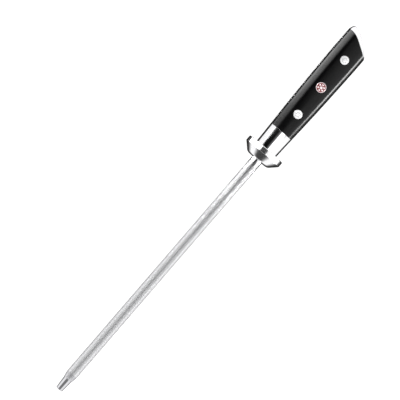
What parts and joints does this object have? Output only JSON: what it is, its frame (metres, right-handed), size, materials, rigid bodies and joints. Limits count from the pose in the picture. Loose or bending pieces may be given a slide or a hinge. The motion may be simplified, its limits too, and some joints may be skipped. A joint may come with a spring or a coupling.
{
  "type": "knife sharpening steel",
  "caption": "Butcher's sharpening steel: long ribbed round rod with a smooth tip, round domed finger guard, bolster, black riveted full-tang handle and slanted steel butt.",
  "frame": {"origin": "on the rod's axis, at the finger guard's front face", "axes": "+X along the rod's axis toward the handle, so the tip points to -X; +Z out of the handle's broad face, with the steel lying on its side; +Y toward the handle's longer butt corner"},
  "size_m": [0.392, 0.0356, 0.0356],
  "materials": {
    "ribbed_steel": "hard-chromed steel, fine lengthwise ribs, polished neck and tip",
    "guard_steel": "turned and polished steel",
    "bolster_steel": "polished steel, faint lengthwise polishing lines",
    "tang_steel": "satin steel edge, ground flush with the scales",
    "cap_steel": "polished steel",
    "scale_plastic": "black moulded plastic with a satin gloss",
    "rivet_steel": "polished steel, ground flush",
    "mosaic_steel": "polished steel, ground flush",
    "mosaic_resin": "deep red polished resin"
  },
  "bodies": {
    "root": {"rod": "ribbed_steel", "finger_guard": "guard_steel", "bolster": "bolster_steel", "tang": "tang_steel", "end_cap": "cap_steel", "upper_scale": "scale_plastic", "lower_scale": "scale_plastic", "guard_rivet_sleeve": "rivet_steel", "guard_rivet_pin": "rivet_steel", "butt_rivet_sleeve": "rivet_steel", "butt_rivet_pin": "rivet_steel", "mosaic_sleeve": "mosaic_steel", "mosaic_outer_rods": "mosaic_steel", "mosaic_centre_rod": "mosaic_steel", "mosaic_resin": "mosaic_resin"}
  },
  "joints": []
}
